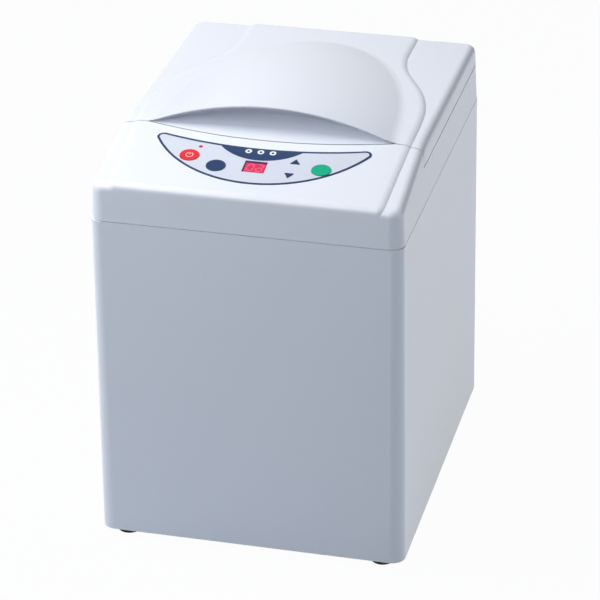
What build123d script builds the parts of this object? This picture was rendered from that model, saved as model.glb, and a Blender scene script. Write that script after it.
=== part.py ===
"""Bench-top centrifugal mixer for dental impression paste.

A drafted cabinet stands on four rubber feet.  A sloping control panel and a
deck close its top, and a rear-hinged lid with an arched grip covers a round
mixing chamber.  In the chamber a rotor carries a tilted cup holder, whose
rubber roller runs on a fixed track, so the cup spins while it orbits.

The frame is +Z up with its origin on the floor under the middle of the body.
The front faces -Y.  All lengths are in millimetres and angles in degrees.
"""

import os
from math import atan2, cos, degrees, radians, sin, sqrt, tan

from build123d import *

os.makedirs("parts", exist_ok=True)

# Body
width = 230.0
depth = 280.5
foot_height = 6.0
cabinet_height = 253.8
cabinet_draft = 0.41
cover_draft = 2.5
corner_radius = 10.0
wall = 3.0
top_edge_radius = 6.0

# Top surface, with heights above the cabinet's lower edge
slope_angle = 11.5
slope_start = 5.0
slope_start_height = 281.8
slope_run = 67.0
top_height = 298.1
raised_height = 1.8
raised_edge_radius = 8.0

# Raised centre of the top, drawn from the rear to the front
raised_rear_inset = 45.4
raised_sweep_angle = 28.0
raised_rear_length = 40.5
raised_rear_arc = 79.0
raised_diagonal = 20.4
raised_shoulder_arc = 137.0
raised_shoulder_turn = 24.0
raised_side_arc = 490.0
raised_side_turn = 6.2

# Lid seam and deck
seam_gap = 0.8
lid_seam_height = 282.5
lid_front = 79.8
seam_bow_inset = 25.0
seam_bow = 10.6
deck_thickness = 3.0
groove_height = 0.5
groove_depth = 1.2

# Arched grip of the lid
grip_front = 79.0
grip_inset = 26.9
grip_rear_gap = 32.5
grip_height = 318.4
grip_end_turn = 0.5
grip_blend = 16.0
niche_inset = 24.6
niche_height = 298.25
niche_rise = 19.1
niche_depth_share = 0.9
niche_stations = (-0.92, -0.7, -0.35, 0, 0.35, 0.7, 0.92)
niche_wall = 2.9

# Fits
running_clearance = 0.05
slide_clearance = 0.15
loose_clearance = 0.3
plate_clearance = 0.3

# Mixing chamber, which fills the length behind the lid's front seam
chamber_front_gap = 6.95
chamber_rear_gap = 9.75
tub_flange_radius = (depth - lid_front - chamber_front_gap - chamber_rear_gap) / 2
tub_flange_width = 8.0
tub_radius = tub_flange_radius - tub_flange_width
tub_wall = 2.5
tub_floor_height = 112.0
tub_flange = 2.0
gasket_thickness = 1.0
tub_corner_radius = 6.0
tub_screw_count = 6
deck_opening_margin = 1.5
seal_margin = 0.5
seal_width = 5.0

# Lid lining and latch
liner_gap = 2.8
liner_thickness = 2.5
liner_boss_radius = 4.0
liner_boss_inset = 17.0
liner_boss_front = 8.5
liner_boss_rear = 20.0
liner_screw_length = 6.0
striker_width = 12.0
striker_thickness = 3.0
striker_back = 10.0
striker_drop = 33.0
striker_foot = 5.0
striker_slot_margin = 3.2
striker_window_gap = 0.5
bolt_radius = 3.0
bolt_rise = 2.0
bolt_gap = 2.75
bolt_length = 31.0
solenoid_length = 30.0
solenoid_width = 26.0
solenoid_bracket = 2.5
sensor_size = (12.0, 6.0, 10.0)
sensor_x = 30.0

# Lid hinges
hinge_inset = 45.0
hinge_width = 30.0
hinge_middle = 10.0
hinge_barrel_radius = 2.3
hinge_pin_radius = 1.1
hinge_leaf = 1.2
hinge_leaf_height = 12.0
hinge_axis_inset = 2.65
hinge_knuckle_gap = 0.3
hinge_relief = 0.4
hinge_block_depth = 7.0
hinge_screw_x = 9.0
hinge_screw_drop = 7.5
hinge_screw_length = 7.0

# Rotor and cup, whose sizes are for a tub of rotor_tub_radius and follow the tub
rotor_tub_radius = 84.0
rotor_scale = tub_radius / rotor_tub_radius
cup_tilt = 30.0
cup_height = 215.0
cup_orbit = 32.0 * rotor_scale
holder_radius = 33.0 * rotor_scale
holder_wall = 3.0 * rotor_scale
holder_floor = 4.0 * rotor_scale
holder_up = 30.0 * rotor_scale
holder_down = 38.0 * rotor_scale
stub_radius = 8.0 * rotor_scale
cup_wall = 2.0 * rotor_scale
cup_up = 38.0 * rotor_scale
cup_lid_radius = 31.5 * rotor_scale
cup_lid_height = 8.0 * rotor_scale
cup_lid_plug = 3.0 * rotor_scale
arm_gap = 1.0 * rotor_scale
arm_thickness = 8.0 * rotor_scale
arm_disc_radius = 22.0 * rotor_scale
arm_half_width = 12.0 * rotor_scale
arm_bearing_radius = 16.0 * rotor_scale
roller_radius = 20.0 * rotor_scale
roller_thickness = 7.0 * rotor_scale
roller_drop = 2.0 * rotor_scale
roller_hub_radius = 10.0 * rotor_scale
stub_tail = 1.0 * rotor_scale
hub_radius = 13.0 * rotor_scale
hub_height = 36.0 * rotor_scale
hub_drop = 77.0 * rotor_scale
counter_arm_reach = 78.0 * rotor_scale
counter_arm_half = 20.0 * rotor_scale
counter_arm_thickness = 8.0 * rotor_scale
counter_arm_drop = 2.0 * rotor_scale
weight_inner = 45.0 * rotor_scale
weight_half = 34.0 * rotor_scale
weight_height = 28.0 * rotor_scale
track_bore_radius = 35.0 * rotor_scale
track_top_drop = 3.0 * rotor_scale

# Drive under the chamber
base_plate_recess = 1.0
base_plate_thickness = 2.0
base_flange_width = 10.0
base_flange_thickness = 2.5
foot_radius = 9.0
foot_lip = 1.0
foot_side_inset = 18.0
foot_end_inset = 14.0
chassis_height = 26.0
chassis_thickness = 3.0
chassis_side_inset = 20.0
chassis_front_inset = 10.25
chassis_rear_margin = 1.5
isolator_radius = 8.0
isolator_side_inset = 31.0
isolator_inset = 11.0
shaft_radius = 6.0
shaft_tail = 3.0
bearing_radius = 13.0
bearing_height = 9.0
spindle_radius = 24.0
spindle_bore_radius = 9.0
spindle_flange_radius = 36.0
spindle_flange = 6.0
driven_pulley_radius = 30.0
motor_pulley_radius = 12.0
pulley_height = 12.0
pulley_level = 9.0
pulley_lip = 2.0
belt_thickness = 1.6
belt_width = 7.0
motor_inset = 48.25
motor_radius = 32.0
motor_length = 80.0
motor_shaft_radius = 4.0
motor_shaft_depth = 25.0
motor_screw_circle = 24.0
nut_height = 6.0
nut_across = 18.0

# Electrical parts
transformer_width = 60.0
transformer_height = 48.0
transformer_side_inset = 23.0
transformer_front_gap = 8.0
transformer_rear_inset = 12.25
transformer_core = 16.0
board_size = (46.0, 70.0)
board_thickness = 1.6
board_side_inset = 47.0
board_front_inset = 56.25
board_post_height = 6.0
board_post_radius = 3.0
heat_sink_size = (10.0, 50.0, 22.0)
capacitor_radius = 8.0
capacitor_height = 25.0
capacitor_gap = 2.0
inlet_side_inset = 53.0
inlet_height = 40.0
inlet_width = 28.0
inlet_tall = 34.0
inlet_flange = 5.0
inlet_flange_thickness = 2.4
inlet_length = 28.0
inlet_setback = 0.4
inlet_seat = 0.8
socket_width = 24.0
socket_tall = 16.5
socket_depth = 17.0
socket_lower_margin = 3.0
socket_corner = 4.0
pin_size = (2.0, 4.0)
pin_pitch = 7.0
pin_offset = 2.0
pin_length = 15.0
pin_root = 6.0
fuse_drawer_size = (22.0, 8.0)
fuse_drawer_length = 20.0
fuse_radius = 2.5
fuse_length = 20.0

# Vents of the rear wall
vent_length = 46.0
vent_width = 2.4
vent_pitch = 7.0
vent_count = 9
vent_side_inset = 65.0
vent_height = 190.0

# Screws
screw_radius = 1.9
screw_head_radius = 3.6
screw_head = 2.2
small_screw_radius = 1.4
small_head_radius = 2.5
small_head = 1.2
cover_screw_side_inset = 14.0
cover_screw_end_inset = 14.25
cover_boss_radius = 4.5
cover_screw_length = 14.0
screw_end_gap = 1.0
root_overlap = 1.0
tab_size = 17.0
tab_thickness = 3.0
base_screw_side_inset = 55.0
base_screw_length = 4.5

# Control panel, in its own plane: across, then up the slope
overlay_thickness = 0.4
overlay_top_radius = 316.0
overlay_top_low = 55.0
overlay_bottom_radius = 91.3
overlay_bottom_low = 13.3
overlay_tip_radius = 4.5
overlay_shift = -0.85
key_positions = {
    "key_power": (-50.2, 39.7),
    "key_select": (-28.4, 30.4),
    "key_start": (46.5, 36.3),
    "key_up": (26.5, 43.3),
    "key_down": (25.0, 26.6),
}
round_key_half_width = 7.05
round_key_half_height = 6.5
arrow_key_width = 6.8
arrow_key_height = 5.2
key_travel = 0.5
key_flange = 1.0
key_flange_margin = 1.2
key_flange_gap = 0.1
key_stem_radius = 2.5
key_stem = 1.0
switch_gap = 0.6
switch_size = 6.0
switch_height = 3.5
display_center = (-0.9, 33.2)
display_size = (16.0, 13.0)
display_rim = 1.5
display_sink = 1.0
lamp_radius = 1.2
lamp_places = [(-9.7, 51.0), (-0.8, 51.0), (8.0, 51.0), (-44.9, 51.1)]
panel_board_size = (120.0, 36.0)
panel_board_center = (-2.0, 41.0)
panel_boss_places = [(-42.0, 27.0), (40.0, 27.0), (-30.0, 55.0), (33.0, 55.0)]
panel_boss_radius = 3.0

# Places that follow from the sizes above
front = -depth / 2
rear = depth / 2
seam_z = foot_height + cabinet_height
cabinet_inset = cabinet_height * tan(radians(cabinet_draft))
top_z = foot_height + top_height
lid_seam_z = foot_height + lid_seam_height
deck_top = lid_seam_z - seam_gap / 2
deck_bottom = deck_top - deck_thickness
lid_bottom = lid_seam_z + seam_gap / 2
head_room = grip_height - cabinet_height + wall
slope_tan = tan(radians(slope_angle))
slope_start_z = foot_height + slope_start_height
slope_end = slope_start + slope_run
slope_end_z = slope_start_z + slope_run * slope_tan
slope_bend_radius = (top_z - slope_end_z) / (1 - cos(radians(slope_angle)))
lid_front_y = front + lid_front
half_width = width / 2
grip_half = half_width - grip_inset
grip_length = depth - grip_front - grip_rear_gap
grip_rise = grip_height - top_height - raised_height
grip_radius = (grip_half**2 + grip_rise**2) / (2 * grip_rise)
grip_turn_radius = (grip_length**2 + grip_rise**2) / (2 * grip_rise)
grip_turn = degrees(atan2(grip_length, grip_turn_radius - grip_rise)) + grip_end_turn
niche_half = half_width - niche_inset
hinge_x = half_width - hinge_inset
hinge_y = rear - hinge_axis_inset
hinge_z = lid_seam_z
chamber_y = rear - chamber_rear_gap - tub_flange_radius
chamber = (0, chamber_y)
deck_opening_radius = tub_radius + deck_opening_margin
seal_inner_radius = deck_opening_radius + seal_margin
seal_outer_radius = seal_inner_radius + seal_width
cover_screw_x = half_width - cover_screw_side_inset
cover_screw_y = rear - cover_screw_end_inset


def body_half(axis_half, height):
    """Half width or depth of the drafted cabinet at a height above its edge."""
    return axis_half - height * tan(radians(cabinet_draft))


def write(piece, label):
    """Label a finished piece and save it."""
    piece.part.label = label
    export_step(piece.part, f"parts/{label}.step")


def pan_screw(radius, length, head_radius, head_height):
    """A screw that points up, with its head below the origin."""
    with BuildPart() as screw:
        Cylinder(radius, length, align=(Align.CENTER, Align.CENTER, Align.MIN))
        Cylinder(head_radius, head_height, align=(Align.CENTER, Align.CENTER, Align.MAX))
    return screw.part


def outer_edges(edges):
    """The edges that only one of the listed faces holds."""
    return [edge for edge in edges if sum(edge.is_same(other) for other in edges) == 1]


# Forms shared by the upper cover and the lid
def head_form(inset, lift, edge_radius):
    """The body above the crease, inset from its faces and lifted at the top."""
    with BuildPart() as form:
        with BuildSketch(Plane.XY.offset(seam_z)):
            RectangleRounded(
                width - 2 * (cabinet_inset + inset),
                depth - 2 * (cabinet_inset + inset),
                corner_radius - inset,
            )
        extrude(amount=head_room, taper=cover_draft)
        with BuildSketch(Plane.YZ):
            with BuildLine():
                start_y = front - wall
                end_y = rear + wall
                start_z = slope_start_z + lift - (slope_start + wall) * slope_tan
                slope = Line((start_y, start_z), (front + slope_end, slope_end_z + lift))
                bend = JernArc(slope @ 1, slope % 1, slope_bend_radius, -slope_angle)
                Polyline(
                    bend @ 1,
                    (end_y, top_z + lift),
                    (end_y, seam_z - wall),
                    (start_y, seam_z - wall),
                    slope @ 0,
                )
            make_face()
        extrude(amount=width, both=True, mode=Mode.INTERSECT)
        if edge_radius > 0:
            top_faces = form.faces().filter_by(lambda face: face.normal_at().Z > 0.5)
            top_edges = [edge for face in top_faces for edge in face.edges()]
            fillet(outer_edges(top_edges), edge_radius)
    return form.part


def lid_outline(shift):
    """Plan of everything behind the lid's front seam, moved back by shift."""
    seam_y = lid_front_y + shift
    bow_half = half_width - seam_bow_inset
    with BuildSketch() as outline:
        with BuildLine():
            bow = ThreePointArc((-bow_half, seam_y), (0, seam_y - seam_bow), (bow_half, seam_y))
            Polyline(
                bow @ 1,
                (width, seam_y),
                (width, depth),
                (-width, depth),
                (-width, seam_y),
                bow @ 0,
            )
        make_face()
    return outline.sketch


def raised_outline():
    """Plan of the raised centre of the top, which narrows in an S to the rear."""
    rear_half = half_width - raised_rear_inset
    with BuildSketch() as outline:
        with BuildLine():
            back = Line((0, rear), (rear_half, rear))
            side = Line(back @ 1, (rear_half, rear - raised_rear_length))
            rear_arc = JernArc(side @ 1, side % 1, raised_rear_arc, raised_sweep_angle)
            diagonal = Line(rear_arc @ 1, rear_arc @ 1 + (rear_arc % 1) * raised_diagonal)
            shoulder = JernArc(diagonal @ 1, diagonal % 1, raised_shoulder_arc, -raised_shoulder_turn)
            flank = JernArc(shoulder @ 1, shoulder % 1, raised_side_arc, -raised_side_turn)
            to_front = ((flank @ 1).Y - front) / -(flank % 1).Y
            edge = Line(flank @ 1, flank @ 1 + (flank % 1) * to_front)
            Line(edge @ 1, (0, (edge @ 1).Y))
            mirror(about=Plane.YZ)
        make_face()
    return outline.sketch


def grip_form(shrink, floor_z):
    """The arch of the grip turned about an axis across the body."""
    crown = foot_height + grip_height - shrink
    radius = grip_radius - shrink
    half = sqrt(radius**2 - (radius - (crown - floor_z)) ** 2)
    lip_y = front + grip_front
    with BuildPart() as form:
        with BuildSketch(Plane.XZ.offset(-lip_y)):
            with BuildLine():
                arch = ThreePointArc((-half, floor_z), (0, crown), (half, floor_z))
                Line(arch @ 1, arch @ 0)
            make_face()
        revolve(
            axis=Axis((0, lip_y, foot_height + grip_height - grip_turn_radius), (1, 0, 0)),
            revolution_arc=-grip_turn,
        )
    return form.part


def niche_form(grow):
    """The finger niche below the grip's lip, upright ellipses that shrink to both tips."""
    floor_z = foot_height + niche_height
    radius = (niche_half**2 + niche_rise**2) / (2 * niche_rise)
    with BuildPart() as form:
        for share in niche_stations:
            x = share * niche_half
            opening = sqrt(radius**2 - x**2) - radius + niche_rise
            with BuildSketch(Plane.YZ.offset(x)):
                with Locations((front + grip_front, floor_z + opening / 2)):
                    Ellipse(niche_depth_share * opening + grow, opening / 2 + grow)
        tip = niche_half + 2 * grow
        ends = [Vertex(side * tip, front + grip_front, floor_z) for side in (-1, 1)]
        loft([ends[0], *form.pending_faces, ends[1]])
    return form.part


base_form = head_form(0, 0, top_edge_radius)
lifted_form = head_form(0, raised_height, top_edge_radius)
inner_form = head_form(wall, -wall, 0)
outer_niche = niche_form(0)
inner_niche = niche_form(niche_wall)

with BuildPart() as raised_form:
    with BuildSketch(Plane.XY.offset(seam_z)):
        add(raised_outline())
    extrude(amount=head_room)
    add(lifted_form, mode=Mode.INTERSECT)
    upper = raised_form.faces().filter_by(lambda face: face.normal_at().Z > 0.5)
    upper_edges = [edge for face in upper for edge in face.edges()]
    long_rim = [edge for edge in outer_edges(upper_edges) if abs(edge.tangent_at(0.5).Y) > 0.5]
    fillet(long_rim, raised_edge_radius)

with BuildPart() as head:
    add(base_form)
    add(raised_form.part)

# Hinge parts shared by both bodies
hinge_places = [(side * hinge_x, hinge_y, hinge_z) for side in (-1, 1)]
relief_radius = hinge_barrel_radius + hinge_relief
leaf_face_y = hinge_y - hinge_leaf / 2
hinge_pocket = hinge_width + 2 * hinge_relief
hinge_screw_places = [
    (side * hinge_x + offset, leaf_face_y + hinge_leaf)
    for side in (-1, 1)
    for offset in (-hinge_screw_x, hinge_screw_x)
]
rear_facing = Rotation(90, 0, 0)


with BuildPart() as barrel_relief:
    with Locations(*hinge_places):
        Cylinder(relief_radius, hinge_pocket, rotation=(0, 90, 0))


def hinge_screw_holes(level, radius):
    """Holes for the screws of the hinge leaves at one level."""
    with BuildPart() as form:
        for x, y in hinge_screw_places:
            with Locations((x, y, level)):
                Cylinder(radius, 2 * hinge_screw_length, rotation=(90, 0, 0))
    return form.part


lower_screw_level = hinge_z - hinge_screw_drop
upper_screw_level = hinge_z + hinge_screw_drop
lower_hinge_holes = hinge_screw_holes(lower_screw_level, small_screw_radius + running_clearance)
upper_hinge_holes = hinge_screw_holes(upper_screw_level, small_screw_radius + running_clearance)

# Control plane: origin where the slope begins, X across, Y up the slope
control_plane = Plane(
    origin=(0, front + slope_start, slope_start_z + raised_height),
    x_dir=(1, 0, 0),
    z_dir=(0, -sin(radians(slope_angle)), cos(radians(slope_angle))),
)
panel_under = -(wall + raised_height) * cos(radians(slope_angle))
flange_top = panel_under - key_flange_gap
stem_end = flange_top - key_flange - key_stem
switch_top = stem_end - switch_gap
panel_board_top = switch_top - switch_height


def overlay_outline():
    """Outline of the control foil, a boat shape with rounded tips."""
    low_center = overlay_bottom_low + overlay_bottom_radius
    top_center = overlay_top_low + overlay_top_radius
    with BuildSketch() as outline:
        with Locations((overlay_shift, low_center)):
            Circle(overlay_bottom_radius)
        with Locations((overlay_shift, top_center)):
            Circle(overlay_top_radius, mode=Mode.SUBTRACT)
        fillet(outline.vertices(), overlay_tip_radius)
    return outline.sketch


def arrow_outline(grow, direction):
    """A small arrow key, pointing up the slope or down it."""
    half = arrow_key_width / 2 + grow
    rise = (arrow_key_height / 2 + grow) * direction
    with BuildSketch() as outline:
        Polygon((-half, -rise), (half, -rise), (0, rise), align=None)
    return outline.sketch


def key_outline(name, grow):
    """Face of one key, grown by a clearance."""
    if name == "key_up":
        return arrow_outline(grow, 1)
    if name == "key_down":
        return arrow_outline(grow, -1)
    with BuildSketch() as outline:
        Ellipse(round_key_half_width + grow, round_key_half_height + grow)
    return outline.sketch


# Upper cover
with BuildPart() as cover_hollow:
    add(inner_form)
    with BuildSketch(Plane.XY.offset(deck_bottom)):
        add(lid_outline(-seam_gap / 2 - wall))
    extrude(amount=head_room, mode=Mode.SUBTRACT)

striker_y = lid_front_y - seam_bow + striker_back
tub_outer_radius = tub_radius + tub_wall
tub_screw_circle = (tub_flange_radius + tub_outer_radius) / 2
cover_boss_places = [(x * cover_screw_x, y * cover_screw_y) for x in (-1, 1) for y in (-1, 1)]
hinge_block_y = hinge_y - hinge_relief - hinge_block_depth

with BuildPart() as upper_cover:
    add(head.part)
    with BuildSketch(Plane.XY.offset(deck_top)):
        add(lid_outline(-seam_gap / 2))
    extrude(amount=head_room, mode=Mode.SUBTRACT)
    add(cover_hollow.part, mode=Mode.SUBTRACT)
    with BuildSketch(Plane.XY.offset(seam_z)):
        RectangleRounded(width, depth, corner_radius)
        RectangleRounded(
            width - 2 * (cabinet_inset + groove_depth),
            depth - 2 * (cabinet_inset + groove_depth),
            corner_radius - groove_depth,
            mode=Mode.SUBTRACT,
        )
    extrude(amount=groove_height, mode=Mode.SUBTRACT)
    with BuildSketch(Plane.XY.offset(seam_z)):
        with Locations(*cover_boss_places):
            Circle(cover_boss_radius)
    extrude(amount=deck_bottom + wall / 2 - seam_z)
    with Locations(*[(side * hinge_x, hinge_block_y, deck_bottom) for side in (-1, 1)]):
        Box(
            hinge_width,
            hinge_block_depth,
            hinge_leaf_height,
            align=(Align.CENTER, Align.MIN, Align.MAX),
        )
    with BuildSketch(Plane.XY.offset(seam_z)):
        with Locations(*cover_boss_places):
            Circle(screw_radius + running_clearance)
    extrude(amount=cover_screw_length - tab_thickness + screw_end_gap, mode=Mode.SUBTRACT)
    with BuildSketch(Plane.XY.offset(deck_bottom)):
        with Locations(chamber):
            Circle(deck_opening_radius)
        with Locations((0, striker_y)):
            Rectangle(
                striker_width + 2 * striker_slot_margin,
                striker_thickness + 2 * striker_slot_margin,
            )
    extrude(amount=deck_thickness, mode=Mode.SUBTRACT)
    with BuildSketch(Plane.XY.offset(deck_bottom)):
        with Locations(chamber):
            with PolarLocations(tub_screw_circle, tub_screw_count, start_angle=30):
                Circle(small_screw_radius + running_clearance)
    extrude(amount=deck_thickness / 2, mode=Mode.SUBTRACT)
    add(barrel_relief.part, mode=Mode.SUBTRACT)
    add(lower_hinge_holes, mode=Mode.SUBTRACT)
    with Locations(*[(side * hinge_x, leaf_face_y, hinge_z) for side in (-1, 1)]):
        Box(
            hinge_pocket,
            hinge_block_depth,
            hinge_leaf_height + hinge_relief,
            align=(Align.CENTER, Align.MIN, Align.MAX),
            mode=Mode.SUBTRACT,
        )
    with BuildSketch(control_plane.offset(panel_board_top)):
        with Locations(*panel_boss_places):
            Circle(panel_boss_radius)
    extrude(amount=panel_under - panel_board_top + wall / 2)
    with BuildSketch(control_plane.offset(panel_board_top)):
        with Locations(*panel_boss_places):
            Circle(small_screw_radius + running_clearance)
    extrude(amount=panel_under - panel_board_top, mode=Mode.SUBTRACT)
    with BuildSketch(control_plane):
        for key_name, key_place in key_positions.items():
            with Locations(key_place):
                add(key_outline(key_name, slide_clearance))
        with Locations(display_center):
            Rectangle(display_size[0] - 2 * display_rim, display_size[1] - 2 * display_rim)
        with Locations(*lamp_places):
            Circle(lamp_radius + slide_clearance)
    extrude(amount=2 * panel_under, mode=Mode.SUBTRACT)
write(upper_cover, "upper_cover")

# Lid
inner_top = top_z - wall
liner_bottom = deck_top + liner_gap
liner_top = liner_bottom + liner_thickness
liner_boss_front_y = lid_front_y + wall + liner_boss_front
liner_boss_rear_y = rear - liner_boss_rear
liner_boss_x = half_width - liner_boss_inset
liner_screw_places = [
    (side * liner_boss_x, y) for side in (-1, 1) for y in (liner_boss_front_y, liner_boss_rear_y)
]

with BuildPart() as grip_hollow:
    add(grip_form(wall, inner_top - wall / 2))
    add(inner_niche, mode=Mode.SUBTRACT)
    with Locations((0, front + grip_front, inner_top)):
        Box(width, 2 * wall, 2 * head_room, mode=Mode.SUBTRACT)

with BuildPart() as lid_hollow:
    add(inner_form)
    with BuildSketch(Plane.XY.offset(lid_bottom)):
        add(lid_outline(seam_gap / 2 + wall))
    extrude(amount=head_room, mode=Mode.INTERSECT)
    add(grip_hollow.part)

with BuildPart() as grip:
    add(grip_form(0, inner_top + wall / 2))
    add(outer_niche, mode=Mode.SUBTRACT)
    with BuildSketch(Plane.XY.offset(inner_top + wall / 2)):
        add(lid_outline(seam_gap / 2))
    extrude(amount=head_room, mode=Mode.INTERSECT)

with BuildPart() as lid_shell:
    with BuildSketch(Plane.XY.offset(lid_bottom)):
        add(lid_outline(seam_gap / 2))
    extrude(amount=head_room)
    add(head.part, mode=Mode.INTERSECT)
    add(grip.part)
    crown = lid_shell.faces().filter_by(GeomType.TORUS).sort_by(SortBy.AREA)[-1]
    crown_outline = [
        edge
        for edge in crown.edges()
        if edge.bounding_box().max.Z < top_z + 2 * raised_height
        and edge.bounding_box().size.Y > grip_blend / 2
    ]
    fillet(crown_outline, grip_blend)
    add(lid_hollow.part, mode=Mode.SUBTRACT)
    with BuildSketch(Plane.XY.offset(liner_top)):
        with Locations(*liner_screw_places):
            Circle(liner_boss_radius)
    extrude(amount=inner_top + root_overlap - liner_top)
    with BuildSketch(Plane.XY.offset(liner_top)):
        with Locations(*liner_screw_places):
            Circle(small_screw_radius + running_clearance)
    extrude(amount=inner_top - liner_top, mode=Mode.SUBTRACT)
    with Locations(*[(side * hinge_x, leaf_face_y, lid_bottom) for side in (-1, 1)]):
        Box(
            hinge_width,
            hinge_block_depth,
            hinge_leaf_height,
            align=(Align.CENTER, Align.MAX, Align.MIN),
        )
        Box(
            hinge_pocket,
            hinge_block_depth,
            hinge_leaf_height + hinge_relief,
            align=(Align.CENTER, Align.MIN, Align.MIN),
            mode=Mode.SUBTRACT,
        )
    add(barrel_relief.part, mode=Mode.SUBTRACT)
    add(upper_hinge_holes, mode=Mode.SUBTRACT)
write(lid_shell, "lid_shell")

with BuildPart() as lid_liner:
    with BuildSketch(Plane.XY.offset(liner_bottom)):
        add(lid_outline(seam_gap / 2 + wall + plate_clearance))
    extrude(amount=liner_thickness)
    add(head_form(wall + plate_clearance, -wall, 0), mode=Mode.INTERSECT)
    liner_notch_y = leaf_face_y - hinge_block_depth - plate_clearance
    with Locations(*[(side * hinge_x, liner_notch_y, liner_bottom) for side in (-1, 1)]):
        Box(
            hinge_pocket,
            3 * hinge_block_depth,
            3 * liner_thickness,
            align=(Align.CENTER, Align.MIN, Align.CENTER),
            mode=Mode.SUBTRACT,
        )
    with Locations(*[(x, y, liner_bottom) for x, y in liner_screw_places]):
        Cylinder(small_screw_radius + running_clearance, 3 * liner_thickness, mode=Mode.SUBTRACT)
write(lid_liner, "lid_liner")

liner_screw = pan_screw(small_screw_radius, liner_screw_length, small_head_radius, small_head)
with BuildPart() as liner_screws:
    with Locations(*[(x, y, liner_bottom) for x, y in liner_screw_places]):
        add(liner_screw)
write(liner_screws, "liner_screws")

with BuildPart() as lid_seal:
    with BuildSketch(Plane.XY.offset(deck_top)):
        with Locations(chamber):
            Circle(seal_outer_radius)
            Circle(seal_inner_radius, mode=Mode.SUBTRACT)
    extrude(amount=liner_gap)
write(lid_seal, "lid_seal")

striker_bottom = liner_bottom - striker_drop
bolt_z = striker_bottom + bolt_rise + bolt_radius
striker_window = 2 * (bolt_radius + striker_window_gap)
with BuildPart() as lid_striker:
    with Locations((0, striker_y, striker_bottom)):
        Box(
            striker_width,
            striker_thickness,
            striker_drop,
            align=(Align.CENTER, Align.CENTER, Align.MIN),
        )
    with Locations((0, striker_y, liner_bottom)):
        Box(
            2 * striker_width,
            striker_thickness + 2 * striker_foot,
            striker_thickness / 2,
            align=(Align.CENTER, Align.CENTER, Align.MAX),
        )
    with Locations((0, striker_y, bolt_z)):
        Box(striker_window, 2 * striker_thickness, striker_window, mode=Mode.SUBTRACT)
write(lid_striker, "lid_striker")

# Latch under the deck
bolt_tip_y = striker_y - striker_thickness / 2 - bolt_gap
bracket_y = bolt_tip_y - bolt_gap
bore_length = 2 * solenoid_length
with BuildPart() as lock_solenoid:
    with Locations((0, bracket_y, bolt_z)):
        Box(
            solenoid_width,
            solenoid_length,
            solenoid_width,
            align=(Align.CENTER, Align.MAX, Align.CENTER),
        )
    with Locations((0, bracket_y, deck_bottom)):
        Box(
            solenoid_width,
            solenoid_bracket,
            deck_bottom - bolt_z,
            align=(Align.CENTER, Align.MAX, Align.MAX),
        )
    with Locations((0, bracket_y, bolt_z)):
        Cylinder(bolt_radius + slide_clearance, bore_length, rotation=rear_facing, mode=Mode.SUBTRACT)
write(lock_solenoid, "lock_solenoid")

with BuildPart() as lock_bolt:
    with Locations((0, bolt_tip_y - bolt_length / 2, bolt_z)):
        Cylinder(bolt_radius, bolt_length, rotation=rear_facing)
    chamfer(lock_bolt.edges(), small_head / 2)
write(lock_bolt, "lock_bolt")

with BuildPart() as lid_switch:
    with Locations((sensor_x, striker_y, deck_bottom)):
        Box(*sensor_size, align=(Align.CENTER, Align.CENTER, Align.MAX))
write(lid_switch, "lid_switch")

# Hinges
side_knuckle = (hinge_width - hinge_middle) / 2 - hinge_knuckle_gap
side_knuckle_x = hinge_middle / 2 + hinge_knuckle_gap + side_knuckle / 2
leaf_start = hinge_barrel_radius + hinge_relief


def hinge_leaf_form(direction, knuckles, knuckle_width):
    """Leaves of both hinges, below the axis or above it, with their knuckles."""
    outward = Align.MIN if direction > 0 else Align.MAX
    screw_level = hinge_z + direction * hinge_screw_drop
    with BuildPart() as leaves:
        for side in (-1, 1):
            with Locations((side * hinge_x, hinge_y, hinge_z + direction * leaf_start)):
                Box(
                    hinge_width,
                    hinge_leaf,
                    hinge_leaf_height - leaf_start,
                    align=(Align.CENTER, Align.CENTER, outward),
                )
            for knuckle_x in knuckles:
                with Locations((side * hinge_x + knuckle_x, hinge_y, hinge_z)):
                    Box(
                        knuckle_width,
                        hinge_leaf,
                        leaf_start + hinge_leaf,
                        align=(Align.CENTER, Align.CENTER, outward),
                    )
                    Cylinder(hinge_barrel_radius, knuckle_width, rotation=(0, 90, 0))
            with Locations((side * hinge_x, hinge_y, hinge_z)):
                Cylinder(
                    hinge_pin_radius + running_clearance,
                    hinge_width,
                    rotation=(0, 90, 0),
                    mode=Mode.SUBTRACT,
                )
        for x, y in hinge_screw_places:
            with Locations((x, y, screw_level)):
                Cylinder(
                    small_screw_radius + running_clearance,
                    4 * hinge_leaf,
                    rotation=rear_facing,
                    mode=Mode.SUBTRACT,
                )
    return leaves


hinge_base_leaves = hinge_leaf_form(-1, (-side_knuckle_x, side_knuckle_x), side_knuckle)
write(hinge_base_leaves, "hinge_base_leaves")

hinge_lid_leaves = hinge_leaf_form(1, (0,), hinge_middle)
write(hinge_lid_leaves, "hinge_lid_leaves")

with BuildPart() as hinge_pins:
    with Locations(*hinge_places):
        Cylinder(hinge_pin_radius, hinge_width, rotation=(0, 90, 0))
write(hinge_pins, "hinge_pins")

leaf_screw = pan_screw(small_screw_radius, hinge_screw_length, small_head_radius, small_head)
leaf_screw_levels = {"hinge_base_screws": lower_screw_level, "hinge_lid_screws": upper_screw_level}
for screw_label, screw_level in leaf_screw_levels.items():
    with BuildPart() as leaf_screws:
        for x, y in hinge_screw_places:
            with Locations(Location((x, y, screw_level), (90, 0, 0))):
                add(leaf_screw)
    write(leaf_screws, screw_label)

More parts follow.
